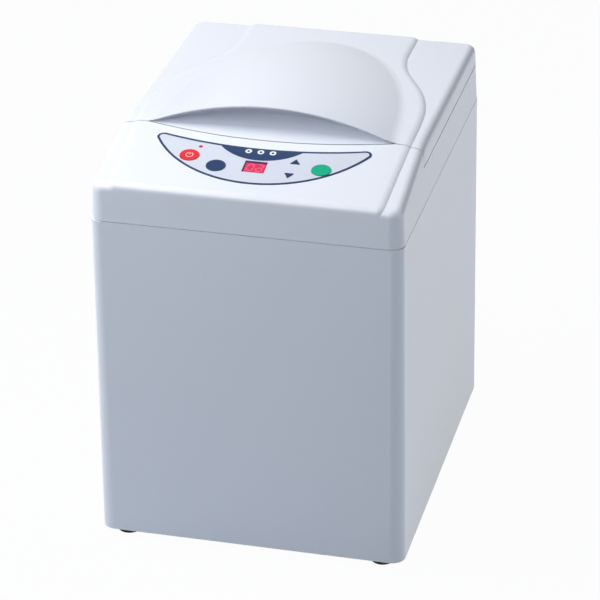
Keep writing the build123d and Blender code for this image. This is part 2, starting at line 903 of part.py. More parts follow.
# Cabinet
inner_half_x = half_width - wall
inner_half_y = rear - wall
base_flange_z = foot_height + base_plate_recess + base_plate_thickness
tab_bottom = seam_z - tab_thickness
inlet_x = half_width - inlet_side_inset
inlet_z = foot_height + inlet_height
inlet_seat_y = body_half(rear, inlet_height + inlet_tall / 2 + inlet_flange) - wall + inlet_seat
inlet_face_y = body_half(rear, inlet_height + inlet_tall / 2) - inlet_setback
base_screw_x = half_width - base_screw_side_inset
base_screw_y = inner_half_y - base_flange_width / 2
base_screw_places = [(x * base_screw_x, y * base_screw_y) for x in (-1, 1) for y in (-1, 1)]

with BuildPart() as cabinet:
    with BuildSketch(Plane.XY.offset(foot_height)):
        RectangleRounded(width, depth, corner_radius)
    extrude(amount=cabinet_height, taper=cabinet_draft)
    with BuildSketch(Plane.XY.offset(foot_height)):
        RectangleRounded(2 * inner_half_x, 2 * inner_half_y, corner_radius - wall)
    extrude(amount=cabinet_height, taper=cabinet_draft, mode=Mode.SUBTRACT)
    with BuildSketch(Plane.XY.offset(base_flange_z)):
        RectangleRounded(2 * inner_half_x, 2 * inner_half_y, corner_radius - wall)
        Rectangle(
            2 * (inner_half_x - base_flange_width),
            2 * (inner_half_y - base_flange_width),
            mode=Mode.SUBTRACT,
        )
    extrude(amount=base_flange_thickness)
    with BuildSketch(Plane.XY.offset(tab_bottom)):
        RectangleRounded(
            2 * (inner_half_x - cabinet_inset) + root_overlap,
            2 * (inner_half_y - cabinet_inset) + root_overlap,
            corner_radius - wall - cabinet_inset,
        )
        Rectangle(
            2 * (inner_half_x - cabinet_inset),
            2 * (inner_half_y - cabinet_inset - tab_size),
            mode=Mode.SUBTRACT,
        )
        Rectangle(
            2 * (inner_half_x - cabinet_inset - tab_size),
            2 * (inner_half_y - cabinet_inset),
            mode=Mode.SUBTRACT,
        )
    extrude(amount=tab_thickness)
    with BuildSketch(Plane.XY.offset(tab_bottom)):
        with Locations(*cover_boss_places):
            Circle(screw_radius + slide_clearance)
    extrude(amount=tab_thickness, mode=Mode.SUBTRACT)
    with BuildSketch(Plane.XY.offset(base_flange_z)):
        with Locations(*base_screw_places):
            Circle(screw_radius + running_clearance)
    extrude(amount=base_flange_thickness, mode=Mode.SUBTRACT)
    with Locations((inlet_x, inlet_seat_y, inlet_z)):
        Box(
            inlet_width + 2 * inlet_flange + 2 * plate_clearance,
            wall,
            inlet_tall + 2 * inlet_flange + 2 * plate_clearance,
            align=(Align.CENTER, Align.MAX, Align.CENTER),
            mode=Mode.SUBTRACT,
        )
        Box(
            inlet_width + 2 * slide_clearance,
            4 * wall,
            inlet_tall + 2 * slide_clearance,
            mode=Mode.SUBTRACT,
        )
    with BuildSketch(Plane.XZ.offset(-rear)):
        with Locations((vent_side_inset - half_width, foot_height + vent_height)):
            with GridLocations(vent_length, vent_pitch, 1, vent_count):
                SlotOverall(vent_length, vent_width)
    extrude(amount=2 * wall + cabinet_inset, mode=Mode.SUBTRACT)
write(cabinet, "cabinet")

cover_screw = pan_screw(screw_radius, cover_screw_length, screw_head_radius, screw_head)
with BuildPart() as cover_screws:
    with Locations(*[(x, y, tab_bottom) for x, y in cover_boss_places]):
        add(cover_screw)
write(cover_screws, "cover_screws")

base_plate_z = foot_height + base_plate_recess
with BuildPart() as base_plate:
    with BuildSketch(Plane.XY.offset(base_plate_z)):
        RectangleRounded(
            2 * (inner_half_x - plate_clearance),
            2 * (inner_half_y - plate_clearance),
            corner_radius - wall,
        )
        with Locations(*base_screw_places):
            Circle(screw_radius + slide_clearance, mode=Mode.SUBTRACT)
        with GridLocations(vent_length + vent_pitch, vent_pitch, 2, vent_count):
            SlotOverall(vent_length, vent_width, mode=Mode.SUBTRACT)
    extrude(amount=base_plate_thickness)
write(base_plate, "base_plate")
base_top = base_plate_z + base_plate_thickness

base_screw = pan_screw(screw_radius, base_screw_length, screw_head_radius, screw_head)
with BuildPart() as base_screws:
    with Locations(*[(x, y, base_plate_z) for x, y in base_screw_places]):
        add(base_screw)
write(base_screws, "base_screws")

with BuildPart() as feet:
    with BuildSketch():
        with GridLocations(2 * (half_width - foot_side_inset), 2 * (rear - foot_end_inset), 2, 2):
            Circle(foot_radius)
    extrude(amount=base_plate_z)
    fillet(feet.faces().sort_by(Axis.Z)[:4].edges(), foot_lip)
write(feet, "feet")

# Mixing chamber
tub_floor_z = foot_height + tub_floor_height
tub_flange_top = deck_bottom - gasket_thickness
spindle_top = tub_floor_z - tub_wall
center_hole = bearing_radius + loose_clearance

with BuildPart() as tub_hollow:
    with BuildSketch(Plane.XY.offset(tub_floor_z)):
        with Locations(chamber):
            Circle(tub_radius)
    extrude(amount=tub_flange_top - tub_floor_z)
    fillet(tub_hollow.edges().group_by(Axis.Z)[0], tub_corner_radius)

with BuildPart() as mixing_tub:
    with BuildSketch(Plane.XY.offset(spindle_top)):
        with Locations(chamber):
            Circle(tub_outer_radius)
    extrude(amount=tub_flange_top - spindle_top)
    fillet(mixing_tub.edges().group_by(Axis.Z)[0], tub_corner_radius + tub_wall)
    with BuildSketch(Plane.XY.offset(tub_flange_top)):
        with Locations(chamber):
            Circle(tub_flange_radius)
    extrude(amount=-tub_flange)
    add(tub_hollow.part, mode=Mode.SUBTRACT)
    with BuildSketch(Plane.XY.offset(spindle_top)):
        with Locations(chamber):
            Circle(center_hole)
    extrude(amount=tub_wall, mode=Mode.SUBTRACT)
    with BuildSketch(Plane.XY.offset(tub_flange_top)):
        with Locations(chamber):
            with PolarLocations(tub_screw_circle, tub_screw_count, start_angle=30):
                Circle(small_screw_radius + running_clearance)
    extrude(amount=-tub_flange, mode=Mode.SUBTRACT)
write(mixing_tub, "mixing_tub")

with BuildPart() as tub_gasket:
    with BuildSketch(Plane.XY.offset(tub_flange_top)):
        with Locations(chamber):
            Circle(tub_flange_radius)
            Circle(deck_opening_radius, mode=Mode.SUBTRACT)
            with PolarLocations(tub_screw_circle, tub_screw_count, start_angle=30):
                Circle(small_screw_radius + running_clearance, mode=Mode.SUBTRACT)
    extrude(amount=gasket_thickness)
write(tub_gasket, "tub_gasket")

tub_screw_length = tub_flange + gasket_thickness + deck_thickness / 2
tub_screw = pan_screw(small_screw_radius, tub_screw_length, small_head_radius, small_head)
with BuildPart() as tub_screws:
    with Locations((0, chamber_y, tub_flange_top - tub_flange)):
        with PolarLocations(tub_screw_circle, tub_screw_count, start_angle=30):
            add(tub_screw)
write(tub_screws, "tub_screws")

# Rotor, in a frame whose Z runs up the tilted cup axis
tilt_sin = sin(radians(cup_tilt))
tilt_cos = cos(radians(cup_tilt))
cup_plane = Plane(
    origin=(cup_orbit, chamber_y, foot_height + cup_height),
    x_dir=(tilt_cos, 0, tilt_sin),
    z_dir=(-tilt_sin, 0, tilt_cos),
)
stub_start = -holder_down
arm_top = stub_start - arm_gap
arm_bottom = arm_top - arm_thickness
roller_top = arm_bottom - roller_drop
roller_bottom = roller_top - roller_thickness
stub_bottom = roller_bottom - stub_tail
hub_z = foot_height + cup_height - hub_drop
hub_top = hub_z + hub_height


def disc(plane, bottom, top, radius, hole=0.0):
    """A round body on a plane, between two levels of it."""
    with BuildPart() as form:
        with BuildSketch(plane.offset(bottom)):
            Circle(radius)
            if hole > 0:
                Circle(hole, mode=Mode.SUBTRACT)
        extrude(amount=top - bottom)
    return form


with BuildPart() as cup_holder:
    with BuildSketch(cup_plane.offset(-holder_down)):
        Circle(holder_radius)
    extrude(amount=holder_down + holder_up)
    with BuildSketch(cup_plane.offset(-holder_down + holder_floor)):
        Circle(holder_radius - holder_wall)
    extrude(amount=holder_up + holder_down - holder_floor, mode=Mode.SUBTRACT)
    with BuildSketch(cup_plane.offset(stub_bottom)):
        Circle(stub_radius)
    extrude(amount=stub_start - stub_bottom)
write(cup_holder, "cup_holder")

cup_bottom = -holder_down + holder_floor
cup_radius = holder_radius - holder_wall - loose_clearance
with BuildPart() as mixing_cup:
    with BuildSketch(cup_plane.offset(cup_bottom)):
        Circle(cup_radius)
    extrude(amount=cup_up - cup_bottom)
    with BuildSketch(cup_plane.offset(cup_bottom + cup_wall)):
        Circle(cup_radius - cup_wall)
    extrude(amount=cup_up - cup_bottom - cup_wall, mode=Mode.SUBTRACT)
write(mixing_cup, "mixing_cup")

with BuildPart() as cup_lid:
    with BuildSketch(cup_plane.offset(cup_up)):
        Circle(cup_lid_radius)
    extrude(amount=cup_lid_height)
    fillet(cup_lid.edges().group_by(Axis((0, 0, 0), tuple(cup_plane.z_dir)))[-1], cup_wall)
    with BuildSketch(cup_plane.offset(cup_up)):
        Circle(cup_radius - cup_wall - slide_clearance)
    extrude(amount=-cup_lid_plug)
write(cup_lid, "cup_lid")

with BuildPart() as drive_roller:
    with BuildSketch(cup_plane.offset(roller_bottom)):
        Circle(roller_radius)
    extrude(amount=roller_thickness)
    with BuildSketch(cup_plane.offset(roller_top)):
        Circle(roller_hub_radius)
    extrude(amount=roller_drop - loose_clearance)
    with BuildSketch(cup_plane.offset(roller_bottom)):
        Circle(stub_radius + running_clearance)
    extrude(amount=roller_thickness + roller_drop, mode=Mode.SUBTRACT)
write(drive_roller, "drive_roller")

arm_bearing = disc(cup_plane, arm_bottom, arm_top, arm_bearing_radius, stub_radius + running_clearance)
write(arm_bearing, "arm_bearing")

arm_center_x = cup_orbit - (arm_top + arm_bottom) / 2 * tilt_sin
counter_top = hub_top - counter_arm_drop
with BuildPart() as rotor_arm:
    with BuildSketch(cup_plane.offset(arm_bottom)):
        Circle(arm_disc_radius)
        Rectangle(arm_center_x / tilt_cos, 2 * arm_half_width, align=(Align.MAX, Align.CENTER))
    extrude(amount=arm_thickness)
    with BuildSketch(Plane.XY.offset(hub_z)):
        with Locations(chamber):
            Circle(hub_radius)
    extrude(amount=hub_height)
    with BuildSketch(Plane.XY.offset(counter_top)):
        with Locations(chamber):
            Rectangle(counter_arm_reach, 2 * counter_arm_half, align=(Align.MAX, Align.CENTER))
            Circle(counter_arm_reach, mode=Mode.INTERSECT)
    extrude(amount=-counter_arm_thickness)
    with BuildSketch(cup_plane.offset(arm_bottom)):
        Circle(arm_bearing_radius + running_clearance)
    extrude(amount=arm_thickness, mode=Mode.SUBTRACT)
    with BuildSketch(cup_plane.offset(arm_top)):
        Circle(holder_radius + arm_gap)
    extrude(amount=holder_down, mode=Mode.SUBTRACT)
    with BuildSketch(Plane.XY.offset(hub_z)):
        with Locations(chamber):
            Circle(shaft_radius + running_clearance)
    extrude(amount=hub_height, mode=Mode.SUBTRACT)
write(rotor_arm, "rotor_arm")

with BuildPart() as counterweight:
    with BuildSketch(Plane.XY.offset(counter_top)):
        with Locations(chamber):
            Circle(counter_arm_reach)
            Circle(weight_inner, mode=Mode.SUBTRACT)
            Rectangle(
                counter_arm_reach,
                2 * weight_half,
                align=(Align.MAX, Align.CENTER),
                mode=Mode.INTERSECT,
            )
    extrude(amount=weight_height)
write(counterweight, "counterweight")

# Track that turns the roller: its rim has the slope of the roller's face
roller_reach = holder_down + arm_gap + arm_thickness + roller_drop
track_offset = roller_radius + loose_clearance


def track_point(down):
    """Radius and height on the track's rim beside the roller, down the cup axis."""
    radius = cup_orbit + down * tilt_sin - track_offset * tilt_cos
    height = foot_height + cup_height - down * tilt_cos - track_offset * tilt_sin
    return radius, height


rim_low = track_point(roller_reach + roller_thickness)
rim_high = track_point(roller_reach + track_top_drop)
with BuildPart() as track_ring:
    with BuildSketch(Plane.XZ.offset(-chamber_y)):
        with BuildLine():
            Polyline(
                (track_bore_radius, tub_floor_z),
                (rim_low[0], tub_floor_z),
                rim_low,
                rim_high,
                (track_bore_radius, rim_high[1]),
                (track_bore_radius, tub_floor_z),
            )
        make_face()
    revolve(axis=Axis((0, chamber_y, 0), (0, 0, 1)))
write(track_ring, "track_ring")

# Drive train under the chamber
chassis_z = foot_height + chassis_height
chassis_top = chassis_z + chassis_thickness
pulley_z = base_top + pulley_level - base_plate_recess - base_plate_thickness
motor_y = front + motor_inset
floor_plane = Plane(origin=(0, chamber_y, 0))
motor_plane = Plane(origin=(0, motor_y, 0))

main_shaft = disc(floor_plane, pulley_z - shaft_tail, hub_top + nut_height, shaft_radius)
write(main_shaft, "main_shaft")

with BuildPart() as rotor_nut:
    with BuildSketch(floor_plane.offset(hub_top)):
        RegularPolygon(nut_across / 2, 6, major_radius=False)
        Circle(shaft_radius + running_clearance, mode=Mode.SUBTRACT)
    extrude(amount=nut_height)
write(rotor_nut, "rotor_nut")

with BuildPart() as spindle_bearings:
    for bearing_bottom in (chassis_top, spindle_top - bearing_height):
        with BuildSketch(floor_plane.offset(bearing_bottom)):
            Circle(bearing_radius)
            Circle(shaft_radius + running_clearance, mode=Mode.SUBTRACT)
        extrude(amount=bearing_height)
write(spindle_bearings, "spindle_bearings")

with BuildPart() as spindle_housing:
    with BuildSketch(floor_plane.offset(chassis_top)):
        Circle(spindle_flange_radius)
    extrude(amount=spindle_flange)
    with BuildSketch(floor_plane.offset(chassis_top)):
        Circle(spindle_radius)
    extrude(amount=spindle_top - chassis_top)
    with BuildSketch(floor_plane.offset(chassis_top)):
        Circle(spindle_bore_radius)
    extrude(amount=spindle_top - chassis_top, mode=Mode.SUBTRACT)
    for bearing_bottom in (chassis_top, spindle_top - bearing_height):
        with BuildSketch(floor_plane.offset(bearing_bottom)):
            Circle(bearing_radius + running_clearance)
        extrude(amount=bearing_height, mode=Mode.SUBTRACT)
write(spindle_housing, "spindle_housing")


def pulley(plane, radius, bore):
    """A flat pulley with a low lip at both edges of its belt track."""
    with BuildPart() as form:
        with BuildSketch(plane.offset(pulley_z)):
            Circle(radius)
        extrude(amount=pulley_height)
        for lip_bottom in (pulley_z, pulley_z + pulley_height - pulley_lip):
            with BuildSketch(plane.offset(lip_bottom)):
                Circle(radius + belt_thickness)
            extrude(amount=pulley_lip)
        with BuildSketch(plane.offset(pulley_z)):
            Circle(bore)
        extrude(amount=pulley_height, mode=Mode.SUBTRACT)
    return form


driven_pulley = pulley(floor_plane, driven_pulley_radius, shaft_radius + running_clearance)
write(driven_pulley, "driven_pulley")

motor_pulley = pulley(motor_plane, motor_pulley_radius, motor_shaft_radius + running_clearance)
write(motor_pulley, "motor_pulley")


def belt_outline(grow):
    """Plan of a band round both pulleys."""
    with BuildSketch() as outline:
        with Locations((0, chamber_y)):
            Circle(driven_pulley_radius + grow)
        with Locations((0, motor_y)):
            Circle(motor_pulley_radius + grow)
        make_hull()
    return outline.sketch


with BuildPart() as drive_belt:
    with BuildSketch(Plane.XY.offset(pulley_z + (pulley_height - belt_width) / 2)):
        add(belt_outline(loose_clearance + belt_thickness))
        add(belt_outline(loose_clearance), mode=Mode.SUBTRACT)
    extrude(amount=belt_width)
write(drive_belt, "drive_belt")

motor_screw_places = [
    (x * motor_screw_circle, motor_y + y * motor_screw_circle)
    for x, y in ((1, 0), (-1, 0), (0, 1), (0, -1))
]
with BuildPart() as motor_body:
    with BuildSketch(motor_plane.offset(chassis_top)):
        Circle(motor_radius)
    extrude(amount=motor_length)
    fillet(motor_body.edges().group_by(Axis.Z)[-1], wall)
    with BuildSketch(motor_plane.offset(chassis_top)):
        Circle(motor_shaft_radius + running_clearance)
    extrude(amount=motor_shaft_depth, mode=Mode.SUBTRACT)
    with BuildSketch(Plane.XY.offset(chassis_top)):
        with Locations(*motor_screw_places):
            Circle(screw_radius + running_clearance)
    extrude(amount=2 * chassis_thickness, mode=Mode.SUBTRACT)
write(motor_body, "motor_body")

motor_screw = pan_screw(screw_radius, 2 * chassis_thickness, screw_head_radius, screw_head)
with BuildPart() as motor_screws:
    with Locations(*[(x, y, chassis_z) for x, y in motor_screw_places]):
        add(motor_screw)
write(motor_screws, "motor_screws")

motor_shaft = disc(
    motor_plane,
    pulley_z - shaft_tail,
    chassis_top + motor_shaft_depth - loose_clearance,
    motor_shaft_radius,
)
write(motor_shaft, "motor_shaft")

board_x = half_width - board_side_inset
board_y = front + board_front_inset
post_x = board_size[0] / 2 - board_post_radius
post_y = board_size[1] / 2 - board_post_radius
board_places = [(board_x + x * post_x, board_y + y * post_y) for x in (-1, 1) for y in (-1, 1)]
chassis_front = front + chassis_front_inset
chassis_rear = chamber_y + spindle_flange_radius + chassis_rear_margin
isolator_x = half_width - isolator_side_inset
isolator_rows = (chassis_front + isolator_inset, chassis_rear - isolator_inset)
isolator_places = [(x * isolator_x, y) for x in (-1, 1) for y in isolator_rows]
with BuildPart() as chassis_plate:
    with BuildSketch(Plane.XY.offset(chassis_z)):
        with Locations((0, (chassis_rear + chassis_front) / 2)):
            Rectangle(2 * (half_width - chassis_side_inset), chassis_rear - chassis_front)
        with Locations(chamber, (0, motor_y)):
            Circle(spindle_bore_radius, mode=Mode.SUBTRACT)
        with Locations(*motor_screw_places):
            Circle(screw_radius + slide_clearance, mode=Mode.SUBTRACT)
    extrude(amount=chassis_thickness)
    with BuildSketch(Plane.XY.offset(chassis_top)):
        with Locations(*board_places):
            Circle(board_post_radius)
    extrude(amount=board_post_height)
write(chassis_plate, "chassis_plate")

with BuildPart() as isolators:
    with BuildSketch(Plane.XY.offset(base_top)):
        with Locations(*isolator_places):
            Circle(isolator_radius)
    extrude(amount=chassis_z - base_top)
write(isolators, "isolators")

# Electrical parts on the base and the chassis
coil_front = chassis_rear + transformer_front_gap
coil_depth = rear - transformer_rear_inset - coil_front
transformer_x = transformer_side_inset + transformer_width / 2 - half_width
transformer_y = coil_front + coil_depth / 2
with BuildPart() as transformer:
    with Locations((transformer_x, transformer_y, base_top)):
        Box(
            transformer_width,
            coil_depth / 2,
            transformer_height,
            align=(Align.CENTER, Align.CENTER, Align.MIN),
        )
    with Locations((transformer_x, transformer_y, base_top + transformer_height / 2)):
        Box(transformer_width - transformer_core, coil_depth, transformer_height - transformer_core)
write(transformer, "transformer")

board_z = chassis_top + board_post_height
with BuildPart() as driver_board:
    with Locations((board_x, board_y, board_z)):
        Box(*board_size, board_thickness, align=(Align.CENTER, Align.CENTER, Align.MIN))
    with Locations((board_x + board_size[0] / 2 - heat_sink_size[0], board_y, board_z)):
        Box(*heat_sink_size, align=(Align.CENTER, Align.CENTER, Align.MIN))
    with BuildSketch(Plane.XY.offset(board_z)):
        with Locations((board_x - capacitor_radius, board_y)):
            with GridLocations(0, 2 * capacitor_radius + capacitor_gap, 1, 3):
                Circle(capacitor_radius)
    extrude(amount=capacitor_height)
write(driver_board, "driver_board")

# Power inlet in the rear wall, with its fuse drawer above the socket
socket_z = inlet_z - inlet_tall / 2 + socket_lower_margin + socket_tall / 2
drawer_z = inlet_z + inlet_tall / 2 - socket_lower_margin / 2 - fuse_drawer_size[1] / 2
socket_plane = Plane(origin=(inlet_x, inlet_face_y, socket_z), x_dir=(-1, 0, 0), z_dir=(0, 1, 0))
pin_places = [(-pin_pitch, -pin_offset), (pin_pitch, -pin_offset), (0, pin_offset)]

with BuildPart() as power_inlet:
    with Locations((inlet_x, inlet_face_y, inlet_z)):
        Box(inlet_width, inlet_length, inlet_tall, align=(Align.CENTER, Align.MAX, Align.CENTER))
    with Locations((inlet_x, inlet_seat_y, inlet_z)):
        Box(
            inlet_width + 2 * inlet_flange,
            inlet_flange_thickness,
            inlet_tall + 2 * inlet_flange,
            align=(Align.CENTER, Align.MAX, Align.CENTER),
        )
    with BuildSketch(socket_plane) as socket_outline:
        Rectangle(socket_width, socket_tall)
        chamfer(socket_outline.vertices().group_by(Axis.Y)[-1], socket_corner)
    extrude(amount=-socket_depth, mode=Mode.SUBTRACT)
    with Locations((inlet_x, inlet_face_y, drawer_z)):
        Box(
            fuse_drawer_size[0] + 2 * slide_clearance,
            fuse_drawer_length + loose_clearance,
            fuse_drawer_size[1] + 2 * slide_clearance,
            align=(Align.CENTER, Align.MAX, Align.CENTER),
            mode=Mode.SUBTRACT,
        )
    with BuildSketch(socket_plane.offset(-socket_depth)):
        with Locations(*pin_places):
            Rectangle(pin_size[0] + 2 * running_clearance, pin_size[1] + 2 * running_clearance)
    extrude(amount=-pin_root, mode=Mode.SUBTRACT)
write(power_inlet, "power_inlet")

with BuildPart() as inlet_pins:
    with BuildSketch(socket_plane.offset(-socket_depth - pin_root)):
        with Locations(*pin_places):
            Rectangle(*pin_size)
    extrude(amount=pin_root + pin_length)
write(inlet_pins, "inlet_pins")

with BuildPart() as fuse_drawer:
    with Locations((inlet_x, inlet_face_y, drawer_z)):
        Box(
            fuse_drawer_size[0],
            fuse_drawer_length,
            fuse_drawer_size[1],
            align=(Align.CENTER, Align.MAX, Align.CENTER),
        )
    fuse_y = inlet_face_y - fuse_drawer_length + 2 * fuse_radius
    with Locations((inlet_x, fuse_y, drawer_z)):
        Cylinder(
            fuse_radius + slide_clearance,
            fuse_length + 2 * slide_clearance,
            rotation=(0, 90, 0),
            mode=Mode.SUBTRACT,
        )
        Box(
            fuse_length + 2 * slide_clearance,
            2 * (fuse_radius + slide_clearance),
            fuse_drawer_size[1],
            align=(Align.CENTER, Align.CENTER, Align.MIN),
            mode=Mode.SUBTRACT,
        )
write(fuse_drawer, "fuse_drawer")

with BuildPart() as fuse:
    with Locations((inlet_x, fuse_y, drawer_z)):
        Cylinder(fuse_radius, fuse_length, rotation=(0, 90, 0))
write(fuse, "fuse")

# Control panel
with BuildPart() as control_overlay:
    with BuildSketch(control_plane):
        add(overlay_outline())
        for key_name, key_place in key_positions.items():
            with Locations(key_place):
                add(key_outline(key_name, slide_clearance), mode=Mode.SUBTRACT)
        with Locations(display_center):
            Rectangle(
                display_size[0] + 2 * slide_clearance,
                display_size[1] + 2 * slide_clearance,
                mode=Mode.SUBTRACT,
            )
        with Locations(*lamp_places):
            Circle(lamp_radius + slide_clearance, mode=Mode.SUBTRACT)
    extrude(amount=overlay_thickness)
write(control_overlay, "control_overlay")

with BuildPart() as display_window:
    with BuildSketch(control_plane):
        with Locations(display_center):
            Rectangle(*display_size)
    extrude(amount=overlay_thickness)
write(display_window, "display_window")

with BuildPart() as display_module:
    with BuildSketch(control_plane.offset(panel_board_top)):
        with Locations(display_center):
            Rectangle(
                display_size[0] - 2 * display_rim - 2 * slide_clearance,
                display_size[1] - 2 * display_rim - 2 * slide_clearance,
            )
    extrude(amount=-panel_board_top - display_sink)
write(display_module, "display_module")

with BuildPart() as indicator_lamps:
    with BuildSketch(control_plane.offset(panel_board_top)):
        with Locations(*lamp_places):
            Circle(lamp_radius)
    extrude(amount=overlay_thickness - panel_board_top)
write(indicator_lamps, "indicator_lamps")

with BuildPart() as key_board:
    with BuildSketch(control_plane.offset(panel_board_top - board_thickness)):
        with Locations(panel_board_center):
            Rectangle(*panel_board_size)
        with Locations(*panel_boss_places):
            Circle(small_screw_radius + running_clearance, mode=Mode.SUBTRACT)
    extrude(amount=board_thickness)
write(key_board, "key_board")

board_screw = pan_screw(small_screw_radius, 2 * wall + board_thickness, small_head_radius, small_head)
board_screw_plane = control_plane.offset(panel_board_top - board_thickness)
with BuildPart() as key_board_screws:
    with Locations(*[board_screw_plane.location * Location(place) for place in panel_boss_places]):
        add(board_screw)
write(key_board_screws, "key_board_screws")

with BuildPart() as key_switches:
    with BuildSketch(control_plane.offset(panel_board_top)):
        with Locations(*key_positions.values()):
            Rectangle(switch_size, switch_size)
    extrude(amount=switch_height)
write(key_switches, "key_switches")

for key_name, key_place in key_positions.items():
    with BuildPart() as panel_key:
        with BuildSketch(control_plane.offset(stem_end)):
            with Locations(key_place):
                Circle(key_stem_radius)
        extrude(amount=key_stem)
        with BuildSketch(control_plane.offset(flange_top - key_flange)):
            with Locations(key_place):
                add(key_outline(key_name, key_flange_margin))
        extrude(amount=key_flange)
        with BuildSketch(control_plane.offset(flange_top)):
            with Locations(key_place):
                add(key_outline(key_name, 0))
        extrude(amount=overlay_thickness + key_travel - flange_top)
    write(panel_key, key_name)
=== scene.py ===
"""Looks of the bench-top centrifugal mixer: finishes, printed panel, screws and studio."""

import math

import bmesh
import bpy
from bpy.props import FloatProperty, FloatVectorProperty, PointerProperty
from mathutils import Matrix, Vector


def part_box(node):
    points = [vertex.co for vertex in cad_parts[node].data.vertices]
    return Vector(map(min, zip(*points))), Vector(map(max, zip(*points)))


bl_info = {
    "name": "Bench Mixer Looks",
    "version": (1, 0, 0),
    "blender": (4, 5, 0),
    "location": "View3D > Sidebar > Bench Mixer",
    "description": "Finishes, printed panel and studio for a bench-top centrifugal mixer",
    "category": "Object",
}

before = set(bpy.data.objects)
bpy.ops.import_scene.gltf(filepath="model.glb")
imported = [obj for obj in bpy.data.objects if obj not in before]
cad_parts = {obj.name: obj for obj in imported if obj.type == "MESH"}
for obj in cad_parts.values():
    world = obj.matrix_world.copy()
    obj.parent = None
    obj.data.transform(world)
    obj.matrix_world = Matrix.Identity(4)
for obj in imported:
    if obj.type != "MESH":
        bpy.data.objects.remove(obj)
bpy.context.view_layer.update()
MM = 0.001

# Outline of the printed foil, in millimetres across the panel and up its slope:
# a low and a high arc that meet in rounded tips
SLOPE = math.radians(11.5)
FOIL_THICKNESS = 0.4
FOIL_X = -0.85
FOIL_LOW = 13.3
FOIL_LOW_RADIUS = 91.3
FOIL_HIGH = 55.0
FOIL_HIGH_RADIUS = 316.0
FOIL_TIP_RADIUS = 4.5

# Ink on the foil: a border, thinner along the low arc, and a badge
BORDER = 2.0
BORDER_THINNING = 0.4
BORDER_BLEND = 40.0
BADGE_HALF = 31.5
BADGE_EDGE = 56.4
BADGE_LOW = 41.0
INK_EDGE = 0.12

# Places on the panel, and how far the display's frame shades it from the left and the top
POWER_KEY = (-50.2, 39.7)
POWER_LAMP = (-44.9, 51.1)
POWER_LAMP_RADIUS = 1.5
LAMP_ROW = ((-9.7, 51.0), (-0.8, 51.0), (8.0, 51.0))
LAMP_RING_RADIUS = 2.4
LAMP_CORE_RADIUS = 0.95
DISPLAY = (-0.9, 33.2)
DISPLAY_SIZE = (16.0, 13.0)
DISPLAY_SHADOW = (1.1, 2.3)

# Where the panel's plane passes the object's middle, worked out from the foil's low front corner
foil_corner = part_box("control_overlay")[0]
PANEL_Y = foil_corner.y / MM - FOIL_LOW * math.cos(SLOPE) + FOIL_THICKNESS * math.sin(SLOPE)
PANEL_Z = foil_corner.z / MM - FOIL_LOW * math.sin(SLOPE)

# Digits of the display
DIGIT_SIZE = (4.2, 7.6)
DIGIT_PITCH = 6.8
DIGIT_SHIFT = (0.5, -0.9)
SEGMENT = 0.5
LEAN = 0.12

# Sign of the power key
SIGN_RADIUS = 2.5
SIGN_LINE = 0.32
SIGN_GAP = 0.95
SIGN_RISE = 0.3

# The bow of the lid's front seam, and the band along it that is painted in shade
SEAM_Y = -60.45
SEAM_BOW = 10.6
SEAM_BOW_HALF = 90.0
SEAM_FLOOR = 300.0
SEAM_HALF = 0.55

# Heads of the screws: the arms of the cross recess and the rounded rim, in millimetres
RECESS_HALF = 0.34
RECESS_REACH = 1.45
HEAD_FLAT = 2.15
HEAD_ROUNDING = 0.5
BASE_SCREW_SIZE = 1.44

# Where the screws are: axes, and the middles at which they are folded onto one spot
HINGE_SPOTS = (("x", (0.0, 70.0, 9.0)), ("z", (288.5, 7.5)))
LINER_SPOTS = (("x", (0.0, 98.0)), ("y", (35.65, 84.6)))
BASE_SPOTS = (("x", (0.0, 60.0)), ("y", (0.0, 132.25)))

CAMERA_AZIMUTH = math.radians(14.45)
CAMERA_ELEVATION = math.radians(27.59)
CAMERA_ROLL = math.radians(-0.76)
CAMERA_TARGET = Vector((0.01703, -0.04946, 0.16611))
CAMERA_DISTANCE = 2.12662
CAMERA_LENS = 173.06
CAMERA_SENSOR = 36.0
CAMERA_REACH = 50.0

# Soft boxes: name, place, size, share of the key light and colour
LAMP_AIM = Vector((0.0, 0.0, 0.2))
LAMPS = (
    ("key_box", (-0.85, -0.05, 1.35), (0.9, 0.9), 1.0, (1.0, 1.0, 1.0)),
    ("fore_box", (-0.45, -0.85, 1.15), (0.8, 0.8), 0.38, (0.95, 0.98, 1.0)),
    ("side_box", (1.6, 0.1, 0.6), (0.9, 1.1), 0.45, (0.92, 0.965, 1.0)),
    ("rear_box", (-0.2, 1.5, 0.5), (1.0, 1.0), 0.08, (0.95, 0.98, 1.0)),
)
SKY_COLOR = (0.82, 0.90, 1.0)
FLOOR_COLOR = (0.43, 0.49, 0.58)
FLOOR_HALF = 6.0
FLOOR_WHITE = 0.97
WHITE = (1.0, 1.0, 1.0)
BLACK = (0.0, 0.0, 0.0)


